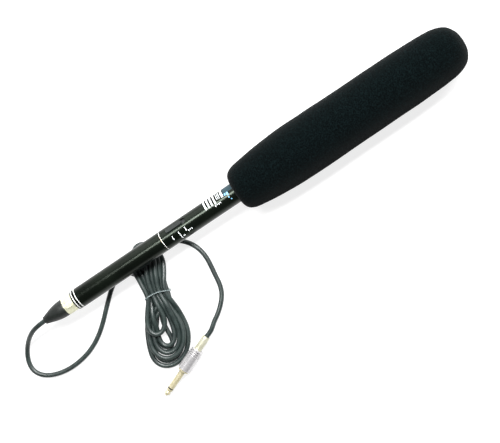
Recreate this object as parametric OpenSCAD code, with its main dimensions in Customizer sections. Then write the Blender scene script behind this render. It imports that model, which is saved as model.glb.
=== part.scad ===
// Long shotgun microphone for a boom pole, with a foam windscreen, a plugged-in cable, a tied hank and a phone jack.
// +X runs along the microphone towards the windscreen's tip, +Z is up, and z = 0 is the surface that it lies on.

/* [Microphone body] */
// Outside diameter of the microphone tube
tube_d = 21; // [20:0.5:22]
// Wall thickness of the tube
tube_wall = 1.5; // [1.2:0.1:1.6]
// Length from the tube's rear rim to the windscreen's tip
overall_len = 464; // [460:1:480]
// Length of the rear tube, which holds the battery
rear_len = 110; // [109:0.2:112]
// Length of the plain front tube, up to the slotted tube
front_end = 200; // [198:1:204]
// Distance from the rear rim to the front end of the slotted tube
slotted_end = 443; // [440:1:444]

/* [Windscreen] */
// Largest diameter of the foam windscreen
foam_d = 59; // [56:1:62]
// Gap between the foam and the tube, on the radius
foam_gap = 0.3; // [0.2:0.1:0.5]

/* [Switch] */
// Angle of the switch round the tube, from the top towards +Y
switch_angle = 37; // [20:1:45]
// Length of the switch knob
knob_len = 19; // [18:0.5:21]
// Width of the switch knob
knob_w = 4.5; // [4:0.5:5.5]
// Travel of the knob over its three positions
knob_travel = 4; // [3:0.5:4]

/* [Cable] */
// Diameter of the cable
cord_d = 5; // [4.5:0.25:5]
// Thickness of the tied hank
hank_h = 15; // [14:1:16]
// Diameter of the phone jack's shaft
jack_d = 6.35; // [6.3:0.05:6.4]
// Diameter of the phone jack's barrel
barrel_d = 14; // [13:0.5:14]

/* [Hidden] */
$fn = 64;
tube_r = tube_d / 2;
bore_r = tube_r - tube_wall;
foam_r = foam_d / 2;
axis_z = foam_r;
rear_x = -overall_len / 2;
run = 0.05;          // running clearance on a radius
face_gap = 0.05;     // gap between end faces that move apart
cord_r = cord_d / 2;
jack_r = jack_d / 2;
barrel_r = barrel_d / 2;

// Distances u along the microphone from the rear rim
ring_w = 1;
front_start = rear_len + ring_w;
spigot_start = rear_len - 12;
spigot_end = front_start + 2;
spigot_r = bore_r + 0.3;
trim_rings_u = [1.4, 4.8];
trim_ring_w = 1;
trim_ring_depth = 0.6;
joint_ring_r = tube_r - 0.2;
slot_rows_u = [for (i = [0 : 13]) 212 + 16.5 * i];
slot_len = 11;
slot_w = 2.4;
recess_start = 117.7;
recess_len = knob_len + knob_travel + 1;
recess_w = knob_w + 1.6;
cap_start = slotted_end;
cap_end = slotted_end + 4;
foam_start = 199;
foam_bore_end = cap_end + 1;
xlr_face = 13;
xlr_back = 21;
plug_nose_r = 8;
plug_nose_end = 12;
plug_shell_r = 9.25;
plug_core_r = 7.2;
plug_shell_start = -11.5;
shell_tail = -19;
boot_end = -38;
clamp_face = -21;
pin_r = 1.2;
pin_ring_r = 3.7;
battery_start = 44;
battery_end = 93;
board_start = 114.5;
board_end = 195;

// Distances v along the jack from its rear end to its tip
jack_rear = [-144.5, -105, barrel_r];
jack_heading = 201.5;
jack_len = 75;
jack_head = 43.5;
grip_len = 21.5;
barrel_start = 16.3;
clamp_v = 22.5;

// The cable's first free stretch, from the plug's clamp to the hank, as centre points
cord_a_route = [
    [rear_x + clamp_face, 0, axis_z], [-262, 0, axis_z], [-271, 0, 29.3], [-279, -0.5, 28],
    [-287, -1.5, 24.5], [-295, -4, 18.8], [-303, -8, 12], [-310, -13.5, 6.5], [-315.5, -20.5, 3.4],
    [-318.5, -28, 2.6], [-318.5, -36, 2.6], [-314.5, -43.5, 2.6], [-307.5, -49, 2.6],
    [-299, -52.5, 2.6], [-289.5, -54.5, 2.6], [-279.5, -55, 2.6], [-269, -54, 2.6],
    [-258, -51.5, 2.6], [-247, -47, 2.6], [-237, -41, 2.6], [-228, -34, 2.6],
    [-219.5, -26.5, 2.6], [-210.5, -18.5, 2.6], [-201.5, -11, 2.6], [-192, -5.5, 2.6],
    [-182.5, -4.5, 2.6], [-174.5, -8.5, 2.6], [-168.5, -15, 2.6]];
// The second free stretch, from the hank to the jack's clamp
jack_out = [-cos(jack_heading), -sin(jack_heading), 0];
cord_b_route = [
    [-140, 6, 9], [-132, 4, 6.5], [-125, 0, 4], [-118, -5, 2.8], [-110.5, -11, 2.6],
    [-104.5, -19, 2.6], [-101, -28, 2.6], [-100, -38, 2.6], [-101, -48, 2.6],
    [-102.5, -58, 2.6], [-104, -68, 2.8], [-107.5, -77, 3.5], [-113.5, -84.5, 4.7],
    [-121, -91, 6], [-129.5, -96.5, 6.8], jack_rear + 8 * jack_out, jack_rear,
    jack_rear - 10 * jack_out, jack_rear - clamp_v * jack_out];
// Outline of the tied hank seen from above, anticlockwise from its upper end
hank_outline = [
    [-151, 13.6], [-159, 10.5], [-165, 2], [-169, -8], [-171.3, -20], [-172.3, -33],
    [-178, -44], [-191, -59], [-199.5, -73], [-206, -85], [-207.8, -96], [-203.5, -106.5],
    [-194, -111], [-180, -110.5], [-166, -103], [-156, -91], [-153.3, -77], [-152.8, -60],
    [-150, -43], [-144.5, -27], [-138, -13.5], [-135, -2], [-140, 9.5]];
tie_y = [-41.7, -39.3];
tie_box_x = [-176, -150];
tie_t = 0.8;

// --- placing ---

// Local +Z runs along the microphone from its rear rim
module along_mic() translate([rear_x, 0, axis_z]) rotate([0, 90, 0]) children();

// Local +X points away from the tube's axis, at an angle from the top towards +Y
module facing(angle) rotate([0, 0, 180 - angle]) children();

// Local +Z runs along the jack from its rear end to its tip
module along_jack() translate(jack_rear) rotate([0, 0, jack_heading]) rotate([0, 90, 0]) children();

// --- shapes ---

module turned(profile) rotate_extrude() polygon(profile);

// A ring or tube between two distances along the axis
module tube(outer, inner, start, end)
    turned([[inner, start], [outer, start], [outer, end], [inner, end]]);

module rod(r, start, end) translate([0, 0, start]) cylinder(r = r, h = end - start);

// A slot with round ends, along the axis and cut inwards from the local +X side
module long_slot(w, start, end, low, high)
    translate([low, 0, 0]) rotate([0, 90, 0]) linear_extrude(high - low) union() {
        translate([-end + w / 2, -w / 2]) square([end - start - w, w]);
        translate([-start - w / 2, 0]) circle(w / 2);
        translate([-end + w / 2, 0]) circle(w / 2);
    }

// Points of a smooth closed curve through a list of points
function smooth(p0, p1, p2, p3, t) = 0.5 * (2 * p1 + (p2 - p0) * t
    + (2 * p0 - 5 * p1 + 4 * p2 - p3) * t * t + (3 * p1 - p0 - 3 * p2 + p3) * t * t * t);
function closed_curve(points, steps) = let (n = len(points)) [
    for (i = [0 : n - 1]) for (j = [0 : steps - 1])
        smooth(points[(i + n - 1) % n], points[i], points[(i + 1) % n],
            points[(i + 2) % n], j / steps)];

// A round tube of 10 sides swept along a list of centre points
cord_sides = 10;
function unit(v) = v / norm(v);
function heading(points, i) =
    unit(points[min(i + 1, len(points) - 1)] - points[max(i - 1, 0)]);
function cord_ring(points, i) = let (
        ahead = heading(points, i),
        side = unit(cross([0, 0, 1], ahead)),
        up = cross(ahead, side))
    [for (k = [0 : cord_sides - 1]) let (a = 360 * (k + 0.5) / cord_sides)
        points[i] + cord_r * (cos(a) * side + sin(a) * up)];
module swept_cord(points) {
    last = len(points) - 1;
    rings = [for (i = [0 : last]) each cord_ring(points, i)];
    walls = [for (i = [0 : last - 1]) for (k = [0 : cord_sides - 1])
        let (a = i * cord_sides + k, b = i * cord_sides + (k + 1) % cord_sides)
        each [[a, a + cord_sides, b], [b, a + cord_sides, b + cord_sides]]];
    first_end = [for (k = [0 : cord_sides - 1]) k];
    last_end = [for (k = [cord_sides - 1 : -1 : 0]) last * cord_sides + k];
    polyhedron(rings, concat([first_end, last_end], walls));
}

// --- rear half of the microphone ---

module rear_tube() color([0.07, 0.08, 0.07]) along_mic() difference() {
    turned([[bore_r, 0], [tube_r - 0.4, 0], [tube_r, 0.4], [tube_r, rear_len - face_gap],
        [spigot_r, rear_len - face_gap], [spigot_r, spigot_start - 1], [bore_r, spigot_start - 2]]);
    for (u = trim_rings_u) tube(tube_r + 1, tube_r - trim_ring_depth, u, u + trim_ring_w);
    facing(180) translate([0, 0, 17]) rotate([0, 90, 0]) cylinder(r = 1, h = tube_r + 1);
}

module trim_rings() color("silver") along_mic()
    for (u = trim_rings_u) tube(tube_r, tube_r - trim_ring_depth, u, u + trim_ring_w);

module xlr_socket() color([0.1, 0.1, 0.1]) along_mic() difference() {
    turned([[plug_nose_r + run, 0.5], [bore_r, 0.5], [bore_r, xlr_back], [0, xlr_back],
        [0, xlr_face], [plug_nose_r + run, xlr_face]]);
    for (a = [60, 180, 300]) facing(a) translate([pin_ring_r, 0, 0])
        rod(pin_r, xlr_face - 1, xlr_back + 1);
    facing(180) translate([6, 0, 17]) rotate([0, 90, 0]) cylinder(r = 1, h = 4);
}

module xlr_pins() color("gold") along_mic()
    for (a = [60, 180, 300]) facing(a) translate([pin_ring_r, 0, 0]) rod(pin_r, 2.5, xlr_back + 4);

module socket_screw() color("silver") along_mic() facing(180) translate([6, 0, 17])
    rotate([0, 90, 0]) difference() {
        cylinder(r = 1, h = tube_r - 6.2);
        translate([0, 0, tube_r - 6.8]) cylinder(r = 0.5, h = 1, $fn = 6);
    }

module rear_contact() color("gold") along_mic() tube(7, 1.5, 30, 30.6);

module battery_spring() color("silver") along_mic() {
    for (i = [0 : 4]) translate([0, 0, 31.6 + 2.5 * i])
        rotate_extrude() translate([5.2 - 0.5 * i, 0]) circle(0.5, $fn = 16);
    for (i = [0 : 3]) facing(90 * i) translate([4.95 - 0.5 * i, 0, 31.8 + 2.5 * i])
        rotate([0, -11.3, 0]) cylinder(r = 0.4, h = 2.2);
}

module battery() color("orangered") along_mic()
    turned([[0, battery_start], [6.8, battery_start], [7.1, battery_start + 0.5],
        [7.1, battery_end - 0.7], [6.6, battery_end], [2.7, battery_end],
        [2.7, battery_end + 1.2], [0, battery_end + 1.2]]);

module battery_liner() color("ivory") along_mic() tube(bore_r - 0.15, 7.4, 31, 94);

// --- threaded coupling ---

module thread_sleeve() color("goldenrod") along_mic()
    turned([[7.6, spigot_start], [spigot_r - run - 0.5, spigot_start],
        [spigot_r - run, spigot_start + 0.5], [spigot_r - run, rear_len + 0.3],
        [bore_r - run, rear_len + 0.3], [bore_r - run, spigot_end], [7.6, spigot_end]]);

module joint_ring() color("white") along_mic()
    tube(joint_ring_r, bore_r, rear_len + 0.35, front_start - face_gap);

module front_contact() color("gold") along_mic() turned([[0, battery_end + 1.4],
    [2.5, battery_end + 1.4], [2.5, spigot_start + 1], [7.6, spigot_start + 1],
    [7.6, spigot_start + 3], [0, spigot_start + 3]]);

// --- front half of the microphone ---

module front_tube() color([0.07, 0.08, 0.07]) along_mic() difference() {
    tube(tube_r, bore_r, front_start, front_end);
    facing(switch_angle)
        long_slot(recess_w, recess_start, recess_start + recess_len, bore_r - 3, tube_r + 1);
}

module switch_bezel() color([0.12, 0.12, 0.12]) along_mic() facing(switch_angle) difference() {
    translate([7.4, -3.6, recess_start - 1]) cube([0.8, 7.2, recess_len + 2]);
    translate([7, -1.4, recess_start + 8]) cube([2, 2.8, 10.4]);
}

module switch_body() color("dimgray") along_mic() facing(switch_angle) difference() {
    translate([1.6, -4.5, recess_start + 2]) cube([5.8, 9, 21]);
    translate([4.2, -1.4, recess_start + 8]) cube([4, 2.8, 10.4]);
}

module switch_knob() color([0.16, 0.17, 0.17]) along_mic() facing(switch_angle) {
    difference() {
        long_slot(knob_w, recess_start + 0.5, recess_start + 0.5 + knob_len, 8.4, tube_r + 0.5);
        for (i = [0 : 11]) translate([tube_r + 0.2, -knob_w, recess_start + 3.5 + 1.15 * i])
            cube([1, 2 * knob_w, 0.5]);
    }
    translate([4.6, -1.2, recess_start + 8.2]) cube([3.8, 2.4, 6]);
}

module circuit_board() color("darkgreen") along_mic() facing(switch_angle)
    translate([0, -8, board_start]) cube([1.6, 16, board_end - board_start]);

module board_parts() color("gray") along_mic() facing(switch_angle) {
    for (i = [0 : 3]) translate([1.6, -3.5 + 7 * (i % 2), 148 + 9 * i])
        rotate([0, 90, 0]) cylinder(r = 2.2, h = 4.5);
    translate([1.6, -4, 184]) cube([5.5, 8, 8]);
    for (i = [0 : 4]) translate([-1.5, -5 + (i % 2) * 6, 128 + 11 * i]) cube([1.5, 4, 7]);
}

module board_screws() color("silver") along_mic() facing(switch_angle)
    for (u = [143.5, 181]) translate([1.6, 0, u]) rotate([0, 90, 0]) cylinder(r = 1.6, h = 1.2);

module capsule() color([0.75, 0.7, 0.55]) along_mic() difference() {
    turned([[0, 206], [7, 206], [7, 218], [6, 218], [6, 217], [0, 217]]);
    tube(8, 6.5, 208, 209);
}

module capsule_mount() color([0.08, 0.08, 0.08]) along_mic() tube(bore_r - 0.2, 7, 205, 215);

module slotted_tube() color([0.07, 0.08, 0.07]) along_mic() difference() {
    tube(tube_r, bore_r, front_end, slotted_end);
    for (u = slot_rows_u) for (a = [0, 90]) rotate([0, 0, a])
        translate([-tube_r - 1, -slot_w / 2, u]) cube([tube_d + 2, slot_w, slot_len]);
}

module acoustic_liner() color([0.2, 0.2, 0.2]) along_mic() tube(bore_r - 0.2, bore_r - 0.8, 219, 440);

module front_cap() color([0.07, 0.08, 0.07]) along_mic()
    turned([[6.5, cap_start - 2], [bore_r - 0.1, cap_start - 2], [bore_r - 0.1, cap_start],
        [tube_r, cap_start], [tube_r, cap_end - 1], [tube_r - 1, cap_end], [6.5, cap_end]]);

module front_mesh() color("silver") along_mic() difference() {
    rod(6.5, cap_end - 2.4, cap_end - 1.8);
    for (x = [-4 : 2 : 4]) for (y = [-4 : 2 : 4]) if (norm([x, y]) < 5.7)
        translate([x, y, cap_end - 3]) cylinder(r = 0.6, h = 2);
}

// --- printed marks, generic ---

print_t = 0.06;
module wrapped_mark(start, w, from, to) intersection() {
    tube(tube_r + print_t, tube_r, start, start + w);
    facing(from) cube([20, 20, 400]);
    facing(to) mirror([0, 1, 0]) cube([20, 20, 400]);
}

module printed_bars() color("white") along_mic() {
    for (i = [0 : 3]) wrapped_mark(164.7 + 3.65 * i, 1.7, 75, 8);
    for (i = [0 : 2]) wrapped_mark(179.4 + 1.5 * i, 0.5, 72, 22);
    wrapped_mark(184.6, 2.2, 78, 18);
    for (i = [0 : 3]) wrapped_mark(174.8 + 1.9 * i, 1.1, 3, -6 + 3 * (i % 2));
}

module printed_ticks() color("white") along_mic() {
    wrapped_mark(121.2, 0.9, -6, -33);
    wrapped_mark(129.2, 0.9, -5, -55);
    wrapped_mark(136.9, 0.9, -1, -25);
    for (i = [0 : 2]) wrapped_mark(138.6 + 1.9 * i, 1.1, -25, -35 + 3 * (i % 2));
    wrapped_mark(131.6, 2.2, -39, -46);
}

module badge() color([0.02, 0.09, 0.16]) along_mic() wrapped_mark(187.8, 10.6, 84, 30);

module badge_dots() color([0.4, 0.65, 0.85]) along_mic() {
    wrapped_mark(188.2, 1.6, 29.5, 18);
    wrapped_mark(190.4, 2.2, 29.5, 12);
    wrapped_mark(190.6, 1.2, 4, -4);
    wrapped_mark(192.2, 0.9, -12, -20);
}

// --- windscreen ---

// Distance from the rear rim and share of the largest radius, then distance from the tip and share
foam_rear = [[foam_start, 0.56], [foam_start + 1, 0.62], [foam_start + 3, 0.7],
    [foam_start + 6, 0.77], [foam_start + 10, 0.82], [foam_start + 16, 0.856],
    [foam_start + 25, 0.898], [foam_start + 36, 0.936], [foam_start + 48, 0.965],
    [foam_start + 60, 0.99], [foam_start + 72, 1], [foam_start + 84, 1], [300, 0.993],
    [330, 0.98], [385, 0.972], [403, 0.962]];
foam_front = [[49, 0.948], [37, 0.93], [25, 0.895], [18, 0.847], [13, 0.786], [9, 0.71],
    [6, 0.62], [3, 0.46], [1, 0.28]];

module windscreen() color([0.03, 0.035, 0.035]) along_mic() turned(concat(
    [[tube_r + foam_gap, foam_start]],
    [for (p = foam_rear) [p[1] * foam_r, p[0]]],
    [for (p = foam_front) [p[1] * foam_r, overall_len - p[0]]],
    [[0, overall_len], [0, foam_bore_end], [tube_r + foam_gap, foam_bore_end]]));

// --- cable plug in the microphone ---

module plug_shell() color([0.8, 0.78, 0.7]) along_mic() difference() {
    turned([[plug_core_r, plug_nose_end], [plug_nose_r, plug_nose_end], [plug_nose_r, -0.5],
        [plug_shell_r, -0.5], [plug_shell_r, plug_shell_start], [8.2, plug_shell_start],
        [8.2, shell_tail], [plug_core_r, shell_tail]]);
    facing(0) translate([5, -3.2, -9.2]) cube([6, 6.4, 6.4]);
}

module plug_insert() color([0.1, 0.1, 0.1]) along_mic() difference() {
    rod(plug_core_r, -11, 11.5);
    facing(0) translate([5.2, -3.4, -9.4]) cube([3, 6.8, 6.8]);
    for (a = [60, 180, 300]) facing(a) translate([pin_ring_r, 0, 0]) rod(1.8, -12, 12);
}

module plug_contacts() color("gold") along_mic()
    for (a = [60, 180, 300]) facing(a) translate([pin_ring_r, 0, 0])
        turned([[0, -10], [1.8, -10], [1.8, 11.5], [pin_r + run, 11.5], [pin_r + run, -5], [0, -5]]);

module latch_button() color([0.85, 0.83, 0.76]) along_mic() facing(0) difference() {
    translate([6.7, -3, -9]) cube([3.1, 6, 6]);
    for (i = [0 : 2]) translate([9.5, -4, -7.7 + 1.5 * i]) cube([1, 8, 0.5]);
}

module latch_leaf() color("silver") along_mic() facing(0)
    translate([5.2, -2.5, -9.2]) cube([0.4, 5, 6.4]);

module cable_clamp() color("ivory") along_mic() difference() {
    rod(plug_core_r - 0.05, clamp_face, -12);
    rod(1.2, clamp_face - 1, -11);
}

module plug_boot() color([0.06, 0.06, 0.06]) along_mic()
    turned([[8.25, plug_shell_start - 0.1], [9, plug_shell_start - 0.1], [9.1, -14],
        [8.9, -18], [8.2, -23], [7, -28], [5.6, -32.5], [4.5, -36], [4.1, boot_end],
        [cord_r + 0.25, boot_end], [cord_r + 0.25, -24.5], [7.3, -22], [7.3, shell_tail - 0.2],
        [8.25, shell_tail - 0.2]]);

// --- cable ---

module cord_a() color([0.16, 0.18, 0.17]) swept_cord(cord_a_route);

module cord_b() color([0.16, 0.18, 0.17]) swept_cord(cord_b_route);

module cord_hank() color([0.16, 0.18, 0.17]) union() {
    difference() {
        linear_extrude(hank_h) polygon(closed_curve(hank_outline, 3));
        translate([-190, tie_y[0], -1]) cube([60, tie_y[1] - tie_y[0], hank_h + 2]);
    }
    tie_core();
}

module tie_core() translate([tie_box_x[0] + tie_t, tie_y[0], tie_t])
    cube([tie_box_x[1] - tie_box_x[0] - 2 * tie_t, tie_y[1] - tie_y[0], hank_h - 2 * tie_t]);

module hank_tie() color([0.05, 0.05, 0.05]) difference() {
    translate([tie_box_x[0], tie_y[0], 0])
        cube([tie_box_x[1] - tie_box_x[0], tie_y[1] - tie_y[0], hank_h]);
    translate([tie_box_x[0] + tie_t, tie_y[0] - 1, tie_t])
        cube([tie_box_x[1] - tie_box_x[0] - 2 * tie_t, 5, hank_h - 2 * tie_t]);
}

// --- phone jack ---

module jack_tip() color([0.85, 0.8, 0.65]) along_jack()
    turned([[0, 40], [1.2, 40], [1.2, 66.6], [jack_r, 66.6], [jack_r, 68], [2.1, 69.4],
        [2.95, 71.2], [2.95, 72], [1.1, 74.8], [0, jack_len]]);

module jack_insulator() color([0.05, 0.05, 0.05]) along_jack()
    turned([[1.2, 45], [1.7, 45], [1.7, 65.4], [jack_r, 65.4], [jack_r, 66.6], [1.2, 66.6]]);

module jack_shaft() color([0.85, 0.8, 0.65]) along_jack()
    turned([[1.7, 36], [5, 36], [5, jack_head - 1.5], [5.6, jack_head - 1.5], [5.6, jack_head],
        [jack_r, jack_head], [jack_r, 65.4], [1.7, 65.4]]);

module jack_clamp() color("silver") along_jack() difference() {
    union() {
        tube(4.4, 1.5, clamp_v, clamp_v + 1.5);
        translate([-3.8, -3, clamp_v]) cube([1.2, 6, 13.5]);
    }
    rod(1.5, clamp_v - 1, clamp_v + 3);
}

module jack_grip() color([0.9, 0.86, 0.74]) along_jack()
    turned([[cord_r + 0.25, 0], [3.7, 0], [3.95, 3], [3.95, 18], [5.2, 18], [5.2, grip_len],
        [cord_r + 0.25, grip_len]]);

module jack_barrel() color([0.85, 0.86, 0.87]) along_jack()
    turned([[4, barrel_start], [6, barrel_start], [6.6, 17], [6.6, 18], [5.8, 18.2], [5.8, 19.2],
        [6.6, 19.4], [6.6, 20.4], [5.8, 20.6], [5.8, 21.6], [6.8, 21.8], [6.8, 22.8],
        [6, 23], [6, 24], [barrel_r, 24.2], [barrel_r, 41], [6.2, 41.9],
        [5 + run, 41.9], [5 + run, 37], [5.5, 36.5], [5.5, 17.5], [4, 17.5]]);

rear_tube();
trim_rings();
xlr_socket();
xlr_pins();
socket_screw();
rear_contact();
battery_spring();
battery();
battery_liner();
thread_sleeve();
joint_ring();
front_contact();
front_tube();
switch_bezel();
switch_body();
switch_knob();
circuit_board();
board_parts();
board_screws();
capsule();
capsule_mount();
slotted_tube();
acoustic_liner();
front_cap();
front_mesh();
printed_bars();
printed_ticks();
badge();
badge_dots();
windscreen();
plug_shell();
plug_insert();
plug_contacts();
latch_button();
latch_leaf();
cable_clamp();
plug_boot();
cord_a();
cord_hank();
hank_tie();
cord_b();
jack_tip();
jack_insulator();
jack_shaft();
jack_clamp();
jack_grip();
jack_barrel();
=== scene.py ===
"""Looks of a long shotgun microphone with a foam windscreen and a plugged-in cable.

The cable runs through a tied hank to a phone jack.

Lengths are in metres. +X runs along the microphone towards the windscreen's tip and +Z is up.
"""
import math

import bpy
from mathutils import Matrix, Vector, geometry, kdtree, noise


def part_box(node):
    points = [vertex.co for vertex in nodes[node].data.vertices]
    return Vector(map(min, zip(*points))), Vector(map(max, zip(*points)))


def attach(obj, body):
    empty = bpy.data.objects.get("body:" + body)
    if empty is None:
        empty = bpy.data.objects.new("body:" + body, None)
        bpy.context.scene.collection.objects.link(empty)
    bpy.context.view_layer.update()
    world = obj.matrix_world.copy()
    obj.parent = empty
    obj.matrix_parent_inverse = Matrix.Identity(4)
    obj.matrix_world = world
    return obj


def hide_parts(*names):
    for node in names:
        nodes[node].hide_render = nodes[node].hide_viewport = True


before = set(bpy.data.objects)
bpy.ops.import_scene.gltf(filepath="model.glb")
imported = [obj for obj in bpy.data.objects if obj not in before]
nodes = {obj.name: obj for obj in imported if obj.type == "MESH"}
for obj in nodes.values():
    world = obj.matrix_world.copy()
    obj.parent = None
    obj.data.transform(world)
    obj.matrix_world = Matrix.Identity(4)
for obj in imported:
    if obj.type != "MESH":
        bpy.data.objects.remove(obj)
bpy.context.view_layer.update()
MM = 0.001

# --- places, all from the frame ---

rear_low, rear_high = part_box("rear_tube")
REAR_X = rear_low.x
AXIS_Z = (rear_low.z + rear_high.z) / 2
TUBE_R = (rear_high.z - rear_low.z) / 2


def at(u, angle=0.0, r=0.0):
    """The point u from the microphone's rear rim and r from its axis, at an angle from the top to +Y."""
    return Vector((REAR_X + u, r * math.sin(angle), AXIS_Z + r * math.cos(angle)))


# --- camera: nearly overhead, rolled so that the microphone runs up to the right ---

CAMERA_HEIGHT = 1.3
CAMERA_TILT = math.radians(8)
CAMERA_ROLL = math.radians(33.7)
CAMERA_TARGET = Vector((-0.0425, -0.0318, 0))
CAMERA_LENS = 92.2
SENSOR_WIDTH = 36
CLIP_END = 20


def make_camera():
    """The camera looks along -back, with the microphone running up to the right in its view."""
    back = Vector((math.sin(CAMERA_TILT), 0, math.cos(CAMERA_TILT)))
    along = Vector((math.cos(CAMERA_TILT), 0, -math.sin(CAMERA_TILT)))
    left = Vector((0, 1, 0))
    right = along * math.cos(CAMERA_ROLL) - left * math.sin(CAMERA_ROLL)
    up = along * math.sin(CAMERA_ROLL) + left * math.cos(CAMERA_ROLL)
    turn = Matrix((right, up, back)).transposed().to_4x4()
    data = bpy.data.cameras.new("camera")
    data.lens = CAMERA_LENS
    data.sensor_width = SENSOR_WIDTH
    data.clip_end = CLIP_END
    camera = bpy.data.objects.new("camera", data)
    camera.matrix_world = Matrix.Translation(CAMERA_TARGET + back * CAMERA_HEIGHT) @ turn
    bpy.context.scene.collection.objects.link(camera)
    bpy.context.scene.camera = camera


make_camera()

# --- curves through points ---

STEPS_PER_PIECE = 12


def smooth_point(p0, p1, p2, p3, t):
    """A point between p1 and p2 on a smooth curve through all four."""
    return 0.5 * (2 * p1 + (p2 - p0) * t + (2 * p0 - 5 * p1 + 4 * p2 - p3) * t * t
                  + (3 * p1 - p0 - 3 * p2 + p3) * t * t * t)


def smooth_path(points, spacing):
    """Even points on one smooth open curve through a list of points, and its length."""
    ends = [2 * points[0] - points[1], *points, 2 * points[-1] - points[-2]]
    fine = []
    for i in range(1, len(ends) - 2):
        piece = ends[i - 1:i + 3]
        fine += [smooth_point(*piece, k / STEPS_PER_PIECE) for k in range(STEPS_PER_PIECE)]
    fine.append(points[-1].copy())
    total = sum((b - a).length for a, b in zip(fine, fine[1:]))
    count = max(2, round(total / spacing))
    path, travelled, j = [fine[0].copy()], 0.0, 0
    for n in range(1, count):
        target = total * n / count
        while travelled + (fine[j + 1] - fine[j]).length < target:
            travelled += (fine[j + 1] - fine[j]).length
            j += 1
        share = (target - travelled) / (fine[j + 1] - fine[j]).length
        path.append(fine[j].lerp(fine[j + 1], share))
    path.append(fine[-1].copy())
    return path, total


def link(obj):
    bpy.context.scene.collection.objects.link(obj)
    return obj


def tube_curve(name, path, diameter, resolution=5):
    """A round tube along a path, with closed ends."""
    data = bpy.data.curves.new(name, "CURVE")
    data.dimensions = "3D"
    data.bevel_depth = diameter / 2
    data.bevel_resolution = resolution
    data.use_fill_caps = True
    spline = data.splines.new("POLY")
    spline.points.add(len(path) - 1)
    for point, place in zip(spline.points, path):
        point.co = (*place, 1)
    spline.use_smooth = True
    return link(bpy.data.objects.new(name, data))


# --- the cable: one length, from the plug through the hank to the jack ---

CORD_D = 5 * MM


def metres(points):
    return [Vector(p) * MM for p in points]


CORD_A = metres([
    (-253, 0, 29.5), (-262, 0, 29.5), (-271, 0, 29.3), (-279, -0.5, 28),
    (-287, -1.5, 24.5), (-295, -4, 18.8), (-303, -8, 12), (-310, -13.5, 6.5), (-315.5, -20.5, 3.4),
    (-318.5, -28, 2.6), (-318.5, -36, 2.6), (-314.5, -43.5, 2.6), (-307.5, -49, 2.6),
    (-299, -52.5, 2.6), (-289.5, -54.5, 2.6), (-279.5, -55, 2.6), (-269, -54, 2.6),
    (-258, -51.5, 2.6), (-247, -47, 2.6), (-237, -41, 2.6), (-228, -34, 2.6),
    (-219.5, -26.5, 2.6), (-210.5, -18.5, 2.6), (-201.5, -11, 2.6), (-192, -5.5, 2.6),
    (-182.5, -4.5, 2.6), (-174.5, -8.5, 2.6)])

JACK_REAR = Vector((-144.5, -105, 7)) * MM
JACK_HEADING = math.radians(201.5)
JACK_AHEAD = Vector((math.cos(JACK_HEADING), math.sin(JACK_HEADING), 0))
CORD_B = metres([
    (-132, 4.5, 7), (-125, 0, 4), (-118, -5, 2.8), (-110.5, -11, 2.6),
    (-104.5, -19, 2.6), (-101, -28, 2.6), (-100, -38, 2.6), (-101, -48, 2.6),
    (-102.5, -58, 2.6), (-104, -68, 2.8), (-107.5, -77, 3.5), (-113.5, -84.5, 4.7),
    (-121, -91, 6), (-129.5, -96.5, 6.8)])
CORD_B += [JACK_REAR - 8 * MM * JACK_AHEAD, JACK_REAR, JACK_REAR + 10 * MM * JACK_AHEAD,
           JACK_REAR + 22.5 * MM * JACK_AHEAD]

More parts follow.
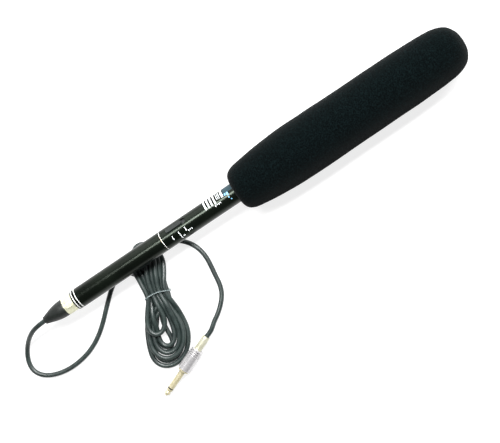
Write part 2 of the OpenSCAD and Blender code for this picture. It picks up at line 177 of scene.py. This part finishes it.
# The hank's seven turns. Each goes down its left side, through the tie, round its lower fold,
# back through the tie and up its right side, to just under the microphone's tube.
TURNS = [
    # the outermost turn, its lower fold on the surface, which follows on from the plug's end
    [(-169, -15, 2.6), (-168.8, -22, 2.6), (-170, -31, 2.6), (-173, -40.5, 2.7), (-181, -51, 2.6),
     (-189, -61, 2.6), (-197, -75, 2.6), (-203, -86, 2.6), (-205.2, -95.5, 2.6), (-202, -104.6, 2.6),
     (-194, -110, 2.6), (-184.5, -110.8, 2.6), (-175.5, -108.3, 2.6), (-167, -102.3, 2.6),
     (-160.3, -93.5, 2.6), (-156.4, -85, 2.7), (-155.4, -75, 4), (-155.2, -64, 7), (-154.3, -52, 10.3),
     (-152.7, -40.5, 11.6), (-146, -26, 9), (-138.4, -13, 5.2)],
    # inside it, on the surface
    [(-165, -13, 5), (-164.6, -26, 4), (-168, -40.5, 2.7), (-175.5, -51, 2.6), (-184.5, -63, 2.6),
     (-192.3, -76, 2.6), (-198.2, -87, 2.6), (-199.8, -95, 2.6), (-197, -102.4, 2.6),
     (-191.5, -105.5, 2.6), (-184.5, -105.9, 2.6), (-177.3, -103.4, 2.6), (-170, -97.5, 2.6),
     (-164, -90, 2.6), (-161, -82, 2.6), (-160.4, -72, 2.6), (-159.4, -60, 2.7), (-157.5, -50, 2.7),
     (-153, -40.5, 2.7), (-148, -26, 2.7), (-142, -13, 2.7)],
    # lying on the others' left and right sides
    [(-160, -13, 2.7), (-160, -26, 2.7), (-163, -40.5, 2.8), (-172, -49, 5), (-182.5, -58.5, 7),
     (-191.3, -69, 7.3), (-197, -79, 7.3), (-199, -88, 7.1), (-197.5, -96.5, 6.9), (-192.3, -102, 6.9),
     (-184.8, -104, 6.9), (-177, -102.6, 6.9), (-170, -98.3, 6.9), (-164.3, -90.8, 6.9),
     (-160.5, -82.5, 6.9), (-158.4, -72, 7), (-157.8, -60, 7.4), (-157.3, -50, 7.9), (-156, -40.5, 8.1),
     (-150, -27, 8.5), (-141.6, -13, 8.5)],
    [(-154, -13, 2.7), (-155, -26, 2.7), (-158, -40.5, 2.8), (-166, -49, 4.6), (-176.5, -58, 6.4),
     (-185.3, -68.5, 7.2), (-191, -78, 7.2), (-193.6, -87, 7.2), (-191.3, -94.8, 7.2),
     (-185.3, -99, 7.2), (-178, -98.6, 7.2), (-170.8, -94, 7.2), (-165.2, -84.5, 7.6),
     (-162.4, -75.5, 9), (-161, -65, 10.4), (-160.4, -52, 11.4), (-159.4, -40.5, 11.7),
     (-154.5, -27, 11.3), (-146, -13, 11)],
    # the smallest on the surface
    [(-158.5, -13, 6.8), (-162, -26, 6), (-167, -40.5, 5.6), (-174.5, -52, 3), (-181, -62, 2.6),
     (-187.5, -70, 2.6), (-192.2, -79, 2.6), (-193.6, -87, 2.6), (-191, -93.4, 2.6), (-185.2, -96, 2.6),
     (-179.4, -93.6, 2.6), (-176.8, -87, 2.6), (-176.2, -77, 2.6), (-174.4, -65, 2.6), (-169.8, -53, 3),
     (-160, -40.5, 5.6), (-155.5, -27, 6.5), (-149, -13, 5.6)],
    # over it
    [(-163.4, -13, 11), (-165.3, -26, 9.6), (-169.4, -40.5, 8.2), (-175.6, -52, 7.6), (-181.8, -63, 7.3),
     (-186.3, -73, 7.1), (-188.6, -81, 6.9), (-187.3, -89, 6.9), (-181.3, -93, 7), (-175, -91, 7.1),
     (-170, -83.5, 7.2), (-167.3, -75, 7.4), (-165.4, -64, 7.7), (-164.2, -52, 8), (-162.7, -40.5, 8.2),
     (-158.8, -27, 9.6), (-151.5, -13, 10.6)],
    # the small loop on top, which goes on to the jack's end
    [(-169.2, -13, 11.5), (-169.4, -26, 11.6), (-172.7, -40.5, 11.8), (-179, -48.5, 11.8),
     (-185.3, -57, 11.9), (-189.6, -65, 12), (-189.3, -72.5, 12), (-184.2, -77, 11.9),
     (-177.3, -75, 11.7), (-171.4, -69.4, 11.6), (-168.4, -61.5, 11.6), (-167, -52, 11.8),
     (-166.1, -40.5, 11.8), (-162.3, -27, 11.8), (-157, -13, 12)],
]
# Each upper fold, hidden under the tube: its middle's x, half its width, the y it reaches and its z
FOLDS = [(-152, 11.5, 11.4, 5), (-152, 10, 6, 2.7), (-151.5, 10, 8, 9.2), (-153.5, 10.5, 6, 12.5),
         (-155.5, 9.5, 9, 6.8), (-158.5, 10.5, 8, 15)]
# From the last turn over to the jack's end
AFTER = metres([(-154.5, -5, 12.5), (-149, 3, 12.8), (-140.5, 6.5, 10.5)])
SPACING = 3 * MM
FOLD_DEGREES = (-10, 25, 60, 90, 120, 155, 190)


def upper_fold(middle, half, reach, z):
    """Points over the upper end, from the right side to the next turn's left side."""
    points = []
    for degrees in FOLD_DEGREES:
        a = math.radians(degrees)
        points.append((middle + half * math.cos(a), reach - half + half * math.sin(a), z))
    return metres(points)


# The tie round the hank: its thickness, and in mm its middle, half its width, its slant and its bow
TIE_D = 1.4 * MM
TIE_MIDDLE_X, TIE_MIDDLE_Y = -162.7, -41.6
TIE_HALF = 13
TIE_SLANT = 2.6
TIE_BOW = 2.6

# How the turns settle: the steps, the heights allowed and how far the tie's pull reaches
SETTLE_STEPS = 150
EASING_PASSES = 3
LOWEST_Z = CORD_D / 2 + 0.1 * MM
HIGHEST_Z = 16.2 * MM
TIE_LOW_X, TIE_HIGH_X = -173.4 * MM, -152 * MM
TIE_REACH = 5 * MM
# Points closer than this along the cord don't push each other
SAME_STRAND = 2.5 * CORD_D
# At the tie the turns may lie closer by this share, which fades out over this distance
SQUEEZE = 0.14
SQUEEZE_REACH = 14 * MM
# How much of each correction one step makes, and how far one step sinks
SHARE_OF_PUSH = 0.3
STIFFNESS = 0.05
EVENING = 0.2
PULL_BACK = 0.02
SINK = 0.02 * MM


def tie_y(x):
    """Where the tie lies along the hank: aslant, and bowed towards the microphone."""
    across = (x / MM - TIE_MIDDLE_X) / TIE_HALF
    return (TIE_MIDDLE_Y - TIE_SLANT * across + TIE_BOW * (1 - across * across)) * MM


def settle(path, first, last):
    """Push touching turns apart until they lie beside and on each other, and let them sink.

    Only the points from first to last move. The tie squeezes the turns, so they give a little there.
    """
    rest = [place.copy() for place in path]
    apart = math.ceil(SAME_STRAND / SPACING)
    for _ in range(SETTLE_STEPS):
        tree = kdtree.KDTree(len(path))
        for i, place in enumerate(path):
            tree.insert(place, i)
        tree.balance()
        moved = [place.copy() for place in path]
        for i in range(first, last):
            from_tie = abs(path[i].y - tie_y(path[i].x))
            clear = CORD_D * min(1 - SQUEEZE + SQUEEZE * from_tie / SQUEEZE_REACH, 1)
            for other, j, gap in tree.find_range(path[i], clear):
                if abs(i - j) > apart and gap > 0:
                    share = SHARE_OF_PUSH if first <= j < last else 2 * SHARE_OF_PUSH
                    moved[i] += (path[i] - other) * ((clear - gap) / gap * share)
            bend = path[i - 2] - 4 * path[i - 1] + 6 * path[i] - 4 * path[i + 1] + path[i + 2]
            moved[i] -= bend * STIFFNESS
            along = (path[i + 1] - path[i - 1]).normalized()
            moved[i] += along * (((path[i - 1] + path[i + 1]) / 2 - path[i]).dot(along) * EVENING)
            moved[i] += (rest[i] - path[i]) * PULL_BACK
            moved[i].z = min(max(moved[i].z - SINK, LOWEST_Z), HIGHEST_Z)
            if from_tie < TIE_REACH:
                moved[i].x = min(max(moved[i].x, TIE_LOW_X), TIE_HIGH_X)
        path = moved
    for _ in range(EASING_PASSES):
        triples = zip(path[first - 1:], path[first:last], path[first + 1:])
        path = path[:first] + [(a + 2 * b + c) / 4 for a, b, c in triples] + path[last:]
    return smooth_path(path, SPACING)


def make_cord():
    """The whole cord as a tube, its length and its settled path."""
    route = list(CORD_A)
    for i, turn in enumerate(TURNS):
        route += metres(turn)
        route += upper_fold(*FOLDS[i]) if i < len(FOLDS) else AFTER
    path, _ = smooth_path(route + CORD_B, SPACING)
    first = len(smooth_path(CORD_A, SPACING)[0])
    last = len(path) - len(smooth_path(CORD_B, SPACING)[0])
    path, length = settle(path, first, last)
    return tube_curve("cable", path, CORD_D), length, path


cable, CORD_LENGTH, CORD_PATH = make_cord()

# --- materials ---


def material(name, color, roughness, metallic=0.0, coat=0.0, sheen=0.0, specular=0.5):
    made = bpy.data.materials.new(name)
    made.use_nodes = True
    shader = made.node_tree.nodes["Principled BSDF"]
    shader.inputs["Base Color"].default_value = (*color, 1)
    shader.inputs["Roughness"].default_value = roughness
    shader.inputs["Metallic"].default_value = metallic
    shader.inputs["Coat Weight"].default_value = coat
    shader.inputs["Sheen Weight"].default_value = sheen
    shader.inputs["Specular IOR Level"].default_value = specular
    return made


def texture_place(tree, stretch=(1, 1, 1)):
    """Object coordinates, stretched along each axis."""
    place = tree.nodes.new("ShaderNodeTexCoord")
    scale = tree.nodes.new("ShaderNodeMapping")
    scale.inputs["Scale"].default_value = stretch
    tree.links.new(place.outputs["Object"], scale.inputs["Vector"])
    return scale.outputs["Vector"]


def noise_value(tree, place, scale, detail=3.0, rough=0.6):
    node = tree.nodes.new("ShaderNodeTexNoise")
    node.inputs["Scale"].default_value = scale
    node.inputs["Detail"].default_value = detail
    node.inputs["Roughness"].default_value = rough
    tree.links.new(place, node.inputs["Vector"])
    return node.outputs["Fac"]


def remap(tree, value, low, high, to_low, to_high):
    node = tree.nodes.new("ShaderNodeMapRange")
    ends = {"From Min": low, "From Max": high, "To Min": to_low, "To Max": to_high}
    for key, number in ends.items():
        node.inputs[key].default_value = number
    tree.links.new(value, node.inputs["Value"])
    return node.outputs["Result"]


def two_colors(made, value, dark, light):
    """Base colour between two colours, by a value from 0 to 1."""
    tree = made.node_tree
    mix = tree.nodes.new("ShaderNodeMix")
    mix.data_type = "RGBA"
    mix.inputs["A"].default_value = (*dark, 1)
    mix.inputs["B"].default_value = (*light, 1)
    tree.links.new(value, mix.inputs["Factor"])
    tree.links.new(mix.outputs["Result"], tree.nodes["Principled BSDF"].inputs["Base Color"])


def vary_roughness(made, value):
    tree = made.node_tree
    tree.links.new(value, tree.nodes["Principled BSDF"].inputs["Roughness"])


def bump(made, value, depth, strength=1.0):
    tree = made.node_tree
    node = tree.nodes.new("ShaderNodeBump")
    node.inputs["Strength"].default_value = strength
    node.inputs["Distance"].default_value = depth
    tree.links.new(value, node.inputs["Height"])
    tree.links.new(node.outputs["Normal"], tree.nodes["Principled BSDF"].inputs["Normal"])


def anodised(name, dark, light, rough_low, rough_high):
    """Black satin anodised aluminium: fine lathe lines round the tube and a faint blotchy tone."""
    made = material(name, light, rough_high, specular=0.25)
    tree = made.node_tree
    tree.nodes["Principled BSDF"].inputs["Specular Tint"].default_value = (0.86, 1, 0.84, 1)
    place = texture_place(tree)
    blotch = noise_value(tree, place, 28, 4)
    two_colors(made, remap(tree, blotch, 0.35, 0.65, 0, 1), dark, light)
    streak = noise_value(tree, texture_place(tree, (900, 40, 40)), 1, 2)
    vary_roughness(made, remap(tree, streak, 0.3, 0.7, rough_low, rough_high))
    lines = noise_value(tree, texture_place(tree, (5200, 60, 60)), 1, 1)
    bump(made, lines, 0.02 * MM, 0.35)
    return made


def metal(name, dark, light, rough_low, rough_high, metallic=1.0, grain=2200):
    """Plated metal: soft blotches of tone, a fine grain and a roughness that varies."""
    made = material(name, light, rough_low, metallic=metallic)
    tree = made.node_tree
    place = texture_place(tree)
    two_colors(made, remap(tree, noise_value(tree, place, 140, 5), 0.35, 0.65, 0, 1), dark, light)
    uneven = noise_value(tree, place, 320, 4)
    vary_roughness(made, remap(tree, uneven, 0.35, 0.7, rough_low, rough_high))
    bump(made, noise_value(tree, place, grain, 2), 0.015 * MM, 0.4)
    return made


def moulded(name, dark, light, rough_low, rough_high, grain=1800, depth=0.03, coat=0.0):
    """Moulded plastic or rubber: a fine pebbled grain and a slight change of tone."""
    made = material(name, light, rough_high, coat=coat)
    tree = made.node_tree
    place = texture_place(tree)
    two_colors(made, remap(tree, noise_value(tree, place, 90, 4), 0.35, 0.65, 0, 1), dark, light)
    uneven = noise_value(tree, place, 260, 3)
    vary_roughness(made, remap(tree, uneven, 0.35, 0.65, rough_low, rough_high))
    bump(made, noise_value(tree, place, grain, 3), depth * MM, 0.6)
    return made


def foam(name):
    """Open-cell foam: close dark pits between paler walls, broken up by a finer noise; the pits'
    darkness follows the bump and is painted shade in the hollows.
    """
    made = material(name, (0.002, 0.004, 0.004), 0.95, sheen=0.03, specular=0.02)
    tree = made.node_tree
    place = texture_place(tree)
    cells = tree.nodes.new("ShaderNodeTexVoronoi")
    cells.inputs["Scale"].default_value = 850
    tree.links.new(place, cells.inputs["Vector"])
    speckle = noise_value(tree, place, 620, 4, 0.7)
    mixed = tree.nodes.new("ShaderNodeMath")
    mixed.operation = "MULTIPLY"
    tree.links.new(cells.outputs["Distance"], mixed.inputs[0])
    tree.links.new(speckle, mixed.inputs[1])
    # Painted shade: the colour follows the bump's height, darker in the low pits than on the walls.
    two_colors(made, remap(tree, mixed.outputs["Value"], 0.1, 0.42, 0, 1),
               (0.0002, 0.0005, 0.0006), (0.002, 0.0048, 0.0052))
    bump(made, mixed.outputs["Value"], 0.5 * MM, 0.9)
    return made


BLACK = anodised("tube_black", (0.0012, 0.0018, 0.0013), (0.003, 0.0045, 0.003), 0.17, 0.24)
SILVER = metal("trim_silver", (0.74, 0.75, 0.73), (0.88, 0.89, 0.87), 0.25, 0.4, metallic=0.35)
NICKEL = metal("plug_nickel", (0.6, 0.6, 0.42), (0.85, 0.85, 0.64), 0.3, 0.48, metallic=0.5)
GOLD = metal("contact_gold", (0.62, 0.47, 0.2), (0.8, 0.62, 0.3), 0.18, 0.3)
PALE_GOLD = metal("jack_gold", (0.47, 0.43, 0.27), (0.55, 0.5, 0.34), 0.2, 0.32, metallic=0.35)
CHROME = metal("jack_chrome", (0.54, 0.53, 0.54), (0.62, 0.61, 0.61), 0.22, 0.3,
               metallic=0.6, grain=1200)
GRIP_METAL = metal("jack_sleeve_metal", (0.5, 0.49, 0.37), (0.58, 0.57, 0.45), 0.3, 0.42,
                   metallic=0.4, grain=1200)
STEEL = metal("steel", (0.5, 0.5, 0.48), (0.66, 0.66, 0.64), 0.2, 0.35)
BRASS = metal("coupling_brass", (0.5, 0.36, 0.16), (0.68, 0.5, 0.25), 0.22, 0.36)
PLASTIC = moulded("socket_black", (0.012, 0.013, 0.013), (0.02, 0.022, 0.022), 0.38, 0.5)
KNOB = moulded("knob_black", (0.006, 0.009, 0.008), (0.013, 0.018, 0.016), 0.3, 0.42, 1500, 0.06)
RUBBER = moulded("boot_rubber", (0.004, 0.006, 0.005), (0.009, 0.012, 0.01), 0.42, 0.58, 1400, 0.05)
CORD = moulded("cord_rubber", (0.012, 0.019, 0.018), (0.025, 0.037, 0.034), 0.34, 0.46, 1500, 0.04)
TIE = moulded("tie_plastic", (0.1, 0.13, 0.13), (0.18, 0.22, 0.22), 0.25, 0.4)
WHITE = moulded("print_white", (0.72, 0.76, 0.78), (0.84, 0.87, 0.88), 0.3, 0.42)
RING_WHITE = moulded("ring_white", (0.74, 0.75, 0.73), (0.85, 0.86, 0.84), 0.25, 0.38)
BLUE = moulded("badge_blue", (0.002, 0.02, 0.03), (0.004, 0.035, 0.05), 0.45, 0.6)
PALE_BLUE = moulded("badge_light", (0.16, 0.42, 0.7), (0.3, 0.6, 0.85), 0.25, 0.35)
PALE = moulded("clamp_plastic", (0.6, 0.58, 0.5), (0.74, 0.71, 0.62), 0.4, 0.55)
BOARD = moulded("board_green", (0.01, 0.1, 0.035), (0.02, 0.16, 0.06), 0.3, 0.4, coat=0.3)
GREY = moulded("parts_grey", (0.12, 0.12, 0.13), (0.24, 0.24, 0.26), 0.35, 0.5)
ORANGE = moulded("battery_wrap", (0.5, 0.16, 0.03), (0.68, 0.26, 0.05), 0.25, 0.35)
CLOTH = moulded("liner_cloth", (0.05, 0.05, 0.05), (0.12, 0.12, 0.12), 0.8, 0.9, 3000, 0.1)
FOAM = foam("foam_black")

LOOKS = {
    "rear_tube": BLACK, "trim_rings": SILVER, "xlr_socket": PLASTIC, "xlr_pins": GOLD,
    "socket_screw": STEEL, "rear_contact": GOLD, "battery_spring": STEEL, "battery": ORANGE,
    "battery_liner": PALE, "thread_sleeve": BRASS, "joint_ring": RING_WHITE, "front_contact": GOLD,
    "front_tube": BLACK, "switch_bezel": PLASTIC, "switch_body": PLASTIC, "switch_knob": KNOB,
    "circuit_board": BOARD, "board_parts": GREY, "board_screws": STEEL, "capsule": STEEL,
    "capsule_mount": RUBBER, "slotted_tube": BLACK, "acoustic_liner": CLOTH, "front_cap": BLACK,
    "front_mesh": STEEL, "printed_bars": WHITE, "printed_ticks": WHITE, "badge": BLUE,
    "badge_dots": PALE_BLUE, "plug_shell": NICKEL, "plug_insert": PLASTIC, "plug_contacts": GOLD,
    "latch_button": NICKEL, "latch_leaf": STEEL, "cable_clamp": PALE, "jack_tip": PALE_GOLD,
    "jack_insulator": PLASTIC, "jack_shaft": PALE_GOLD, "jack_clamp": STEEL, "jack_grip": GRIP_METAL,
    "jack_barrel": CHROME,
}


def dress_cad():
    """Give each CAD node its material."""
    for name, look in LOOKS.items():
        part = nodes[name]
        part.data.materials.clear()
        part.data.materials.append(look)


dress_cad()

# --- pieces that stand for the soft CAD solids ---


def mesh_piece(name, points, faces, look, body):
    data = bpy.data.meshes.new(name)
    data.from_pydata(points, [], faces)
    data.materials.append(look)
    data.polygons.foreach_set("use_smooth", [True] * len(data.polygons))
    data.validate()
    data.update()
    piece = link(bpy.data.objects.new(name, data))
    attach(piece, body)
    return piece


def turned_piece(name, profile, look, body, sides, ripple=None):
    """A closed profile of (u, r) turned round the microphone's axis."""
    points, faces = [], []
    for k in range(sides):
        angle = 2 * math.pi * k / sides
        for u, r in profile:
            if ripple:
                r = ripple(u, r, angle)
            points.append(at(u, angle, r))
    rows = len(profile)
    for k in range(sides):
        near, far = k * rows, (k + 1) % sides * rows
        for i in range(rows):
            j = (i + 1) % rows
            faces.append((near + i, near + j, far + j, far + i))
    return mesh_piece(name, points, faces, look, body)


FOAM_LOW, FOAM_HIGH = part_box("windscreen")
FOAM_R = (FOAM_HIGH.z - FOAM_LOW.z) / 2
FOAM_START = FOAM_LOW.x - REAR_X
FOAM_TIP = FOAM_HIGH.x - REAR_X
FOAM_BORE_R = TUBE_R + 0.3 * MM
FOAM_BORE_END = FOAM_TIP - 16 * MM
FOAM_SIDES = 160
TIP_R = 0.05 * MM
# Shares of the largest radius at distances from the windscreen's rear end
FOAM_SHAPE = [(0, 0.55), (1, 0.625), (3, 0.705), (6, 0.77), (10, 0.82), (16, 0.856), (25, 0.898),
              (36, 0.936), (48, 0.965), (60, 0.99), (72, 1), (84, 1), (101, 0.993), (131, 0.98),
              (186, 0.972), (204, 0.962), (216, 0.948), (228, 0.93), (240, 0.895), (247, 0.847),
              (252, 0.786), (256, 0.71), (259, 0.62), (262, 0.46), (264, 0.28), (265, 0.01)]
WAVE = 0.25 * MM
SKIN = 0.16 * MM
SKIN_INSET = 0.3 * MM


def foam_profile():
    """The windscreen's section as (u, r): the bore's mouth, the outside, the tip and the bore's end."""
    places = [Vector((u * MM, share * FOAM_R, 0)) for u, share in FOAM_SHAPE]
    outside, _ = smooth_path(places, 1.3 * MM)
    profile = [(FOAM_START, FOAM_BORE_R), (FOAM_START - 0.2 * MM, FOAM_BORE_R + 3 * MM)]
    profile += [(FOAM_START + p.x, max(p.y, TIP_R)) for p in outside]
    profile.append((FOAM_BORE_END, TIP_R))
    profile.append((FOAM_BORE_END, FOAM_BORE_R))
    return profile


def foam_ripple(u, r, angle):
    """Cut foam isn't truly round: shallow waves along it and a fine rough skin."""
    if r < FOAM_BORE_R + 1 * MM:
        return r
    up, across = math.cos(angle), math.sin(angle)
    wave = noise.noise(Vector((u * 30, up, across)) * 1.4) * WAVE
    skin = noise.noise(Vector((u * 900, r * 900 * up, r * 900 * across))) * SKIN
    return r + wave + skin - SKIN_INSET


windscreen = turned_piece("foam_windscreen", foam_profile(), FOAM, "windscreen", FOAM_SIDES, foam_ripple)
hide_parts("windscreen")

# The boot's section as (u, r) in mm: its front, the outside to its tail, and back up its inside
BOOT_FRONT = [(-11.7, 8.3), (-11.7, 8.95)]
BOOT_OUTSIDE = [(-12.4, 9.1), (-14, 9.1), (-18, 8.9), (-23, 8.2), (-28, 7), (-32.5, 5.6), (-36, 4.5),
                (-37.6, 4.1)]
BOOT_INSIDE = [(-38, 3.8), (-38, 2.7), (-24.5, 2.7), (-22, 7.3), (-19.2, 7.3), (-19.2, 8.3)]
BOOT_SIDES = 48


def boot_profile():
    """The boot's section as (u, r), with its outside smoothed."""
    outside, _ = smooth_path([Vector((u * MM, r * MM, 0)) for u, r in BOOT_OUTSIDE], 0.8 * MM)
    front = [(u * MM, r * MM) for u, r in BOOT_FRONT]
    inside = [(u * MM, r * MM) for u, r in BOOT_INSIDE]
    return front + [(p.x, p.y) for p in outside] + inside


boot = turned_piece("rubber_boot", boot_profile(), RUBBER, "cable", BOOT_SIDES)
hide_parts("plug_boot")

TIE_NEAR = 2 * MM
HANK_LOW_X, HANK_HIGH_X = -180 * MM, -145 * MM
TIE_CUT_END = Vector((2.2, 0, -0.6)) * MM
STRAND_SIDES = 12


def near_tie(place):
    """Whether a point of the cord is one of the strands under the tie."""
    return abs(place.y - tie_y(place.x)) < TIE_NEAR and HANK_LOW_X < place.x < HANK_HIGH_X


def tie_outline():
    """The convex outline round the strands at the tie, as (x, z), from its upper right."""
    reach = CORD_D / 2 + TIE_D / 2
    rim = []
    for place in filter(near_tie, CORD_PATH):
        for k in range(STRAND_SIDES):
            a = math.radians(360 / STRAND_SIDES * k)
            rim.append(Vector((place.x + reach * math.cos(a), place.z + reach * math.sin(a))))
    outline = [rim[i] for i in geometry.convex_hull_2d(rim)]
    start = max(range(len(outline)), key=lambda i: outline[i].x + outline[i].y)
    return outline[start:] + outline[:start]


def make_tie():
    """A thin tie drawn tight round the hank, with its cut end on the right."""
    loop = [Vector((p.x, 0, max(p.y, TIE_D / 2))) for p in tie_outline()]
    loop.append(loop[0].copy())
    loop.append(loop[0] + TIE_CUT_END)
    loop, _ = smooth_path(loop, 0.8 * MM)
    for place in loop:
        place.y = tie_y(place.x)
    made = tube_curve("cable_tie", loop, TIE_D, resolution=3)
    made.data.materials.append(TIE)
    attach(made, "cable")
    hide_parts("hank_tie")
    return made


tie = make_tie()

cable.data.materials.append(CORD)
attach(cable, "cable")
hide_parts("cord_a", "cord_hank", "cord_b")

# --- floor and light ---

FLOOR_SIDE = 6
FLOOR_GLOW = 0.8


def make_floor():
    """A table that looks white because it glows, which keeps the shadows on it pale."""
    data = bpy.data.meshes.new("floor")
    corners = [(-1, -1, 0), (1, -1, 0), (1, 1, 0), (-1, 1, 0)]
    data.from_pydata([Vector(c) * FLOOR_SIDE for c in corners], [], [(0, 1, 2, 3)])
    look = material("floor", (0.3, 0.3, 0.3), 0.9, specular=0.1)
    shader = look.node_tree.nodes["Principled BSDF"]
    shader.inputs["Emission Color"].default_value = (1, 1, 1, 1)
    shader.inputs["Emission Strength"].default_value = FLOOR_GLOW
    data.materials.append(look)
    floor = link(bpy.data.objects.new("floor", data))


def make_light(name, place, target, size, power):
    """A rectangular lamp that faces its target."""
    data = bpy.data.lights.new(name, "AREA")
    data.shape = "RECTANGLE"
    data.size, data.size_y = size
    data.energy = power
    light = link(bpy.data.objects.new(name, data))
    light.location = place
    light.rotation_euler = (Vector(target) - Vector(place)).to_track_quat("-Z", "Y").to_euler()


def make_world():
    """A dark room with pale walls low down."""
    world = bpy.data.worlds.new("world")
    bpy.context.scene.world = world
    world.use_nodes = True
    tree = world.node_tree
    place = tree.nodes.new("ShaderNodeTexCoord")
    split = tree.nodes.new("ShaderNodeSeparateXYZ")
    tree.links.new(place.outputs["Generated"], split.inputs["Vector"])
    strength = remap(tree, split.outputs["Z"], 0.16, 0.26, 0.9, 0.1)
    tree.nodes["Background"].inputs["Color"].default_value = (1, 1, 1, 1)
    tree.links.new(strength, tree.nodes["Background"].inputs["Strength"])


make_floor()
make_world()
make_light("key", (0.71, 0.42, 1.2), (0.71, 0, 0), (2.2, 0.28), 68)
make_light("wall", (0.45, 1.3, 0.75), (0.45, 0, 0.1), (2.0, 1.2), 18)
bpy.context.scene.view_settings.view_transform = "Standard"
